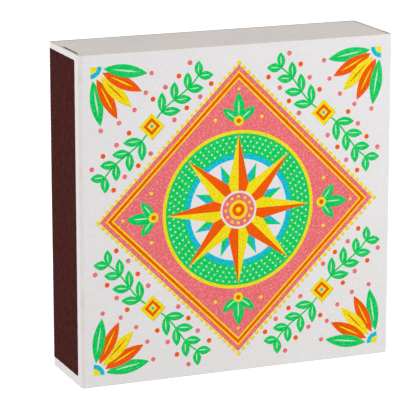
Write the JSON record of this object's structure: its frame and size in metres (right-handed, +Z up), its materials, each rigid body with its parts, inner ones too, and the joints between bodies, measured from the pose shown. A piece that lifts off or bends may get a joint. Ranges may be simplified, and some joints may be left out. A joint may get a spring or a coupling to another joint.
{
  "type": "matchbox",
  "caption": "Large square card matchbox: a printed folded sleeve with a striking strip down each narrow side, and a card tray of long wooden matches that slides out of either end.",
  "frame": {"origin": "middle of the base, on the surface that the box stands on", "axes": "+X runs across the printed front to the glued side, +Y from the printed front to the back, +Z up, along the way that the tray slides"},
  "size_m": [0.1102, 0.029, 0.11],
  "materials": {
    "sleeve_card": "satin coated white board with a printed front",
    "tray_card": "matt uncoated white board",
    "striker": "rough dark maroon striking coat",
    "match_wood": "bare split aspen with a dipped matt red head"
  },
  "bodies": {
    "sleeve": {"sleeve": "sleeve_card", "striker_strip_left": "striker", "striker_strip_right": "striker"},
    "tray": {"match_01": "match_wood", "match_02": "match_wood", "match_03": "match_wood", "match_04": "match_wood", "match_05": "match_wood", "match_06": "match_wood", "match_07": "match_wood", "match_08": "match_wood", "match_09": "match_wood", "match_10": "match_wood", "match_11": "match_wood", "match_12": "match_wood", "match_13": "match_wood", "match_14": "match_wood", "match_15": "match_wood", "match_16": "match_wood", "match_17": "match_wood", "match_18": "match_wood", "match_19": "match_wood", "match_20": "match_wood", "match_21": "match_wood", "match_22": "match_wood", "match_23": "match_wood", "match_24": "match_wood", "match_25": "match_wood", "match_26": "match_wood", "match_27": "match_wood", "match_28": "match_wood", "match_29": "match_wood", "match_30": "match_wood", "match_31": "match_wood", "match_32": "match_wood", "match_33": "match_wood", "match_34": "match_wood", "match_35": "match_wood", "match_36": "match_wood", "match_37": "match_wood", "match_38": "match_wood", "match_39": "match_wood", "match_40": "match_wood", "match_41": "match_wood", "match_42": "match_wood", "match_43": "match_wood", "match_44": "match_wood", "match_45": "match_wood", "match_46": "match_wood", "match_47": "match_wood", "match_layer_1": "match_wood", "match_layer_2": "match_wood", "match_layer_3": "match_wood", "tray": "tray_card"}
  },
  "joints": [
    {"name": "tray_slide", "type": "slide", "parent": "sleeve", "child": "tray", "axis": [0, 0, 1], "range_m": [-0.1, 0.1]}
  ]
}
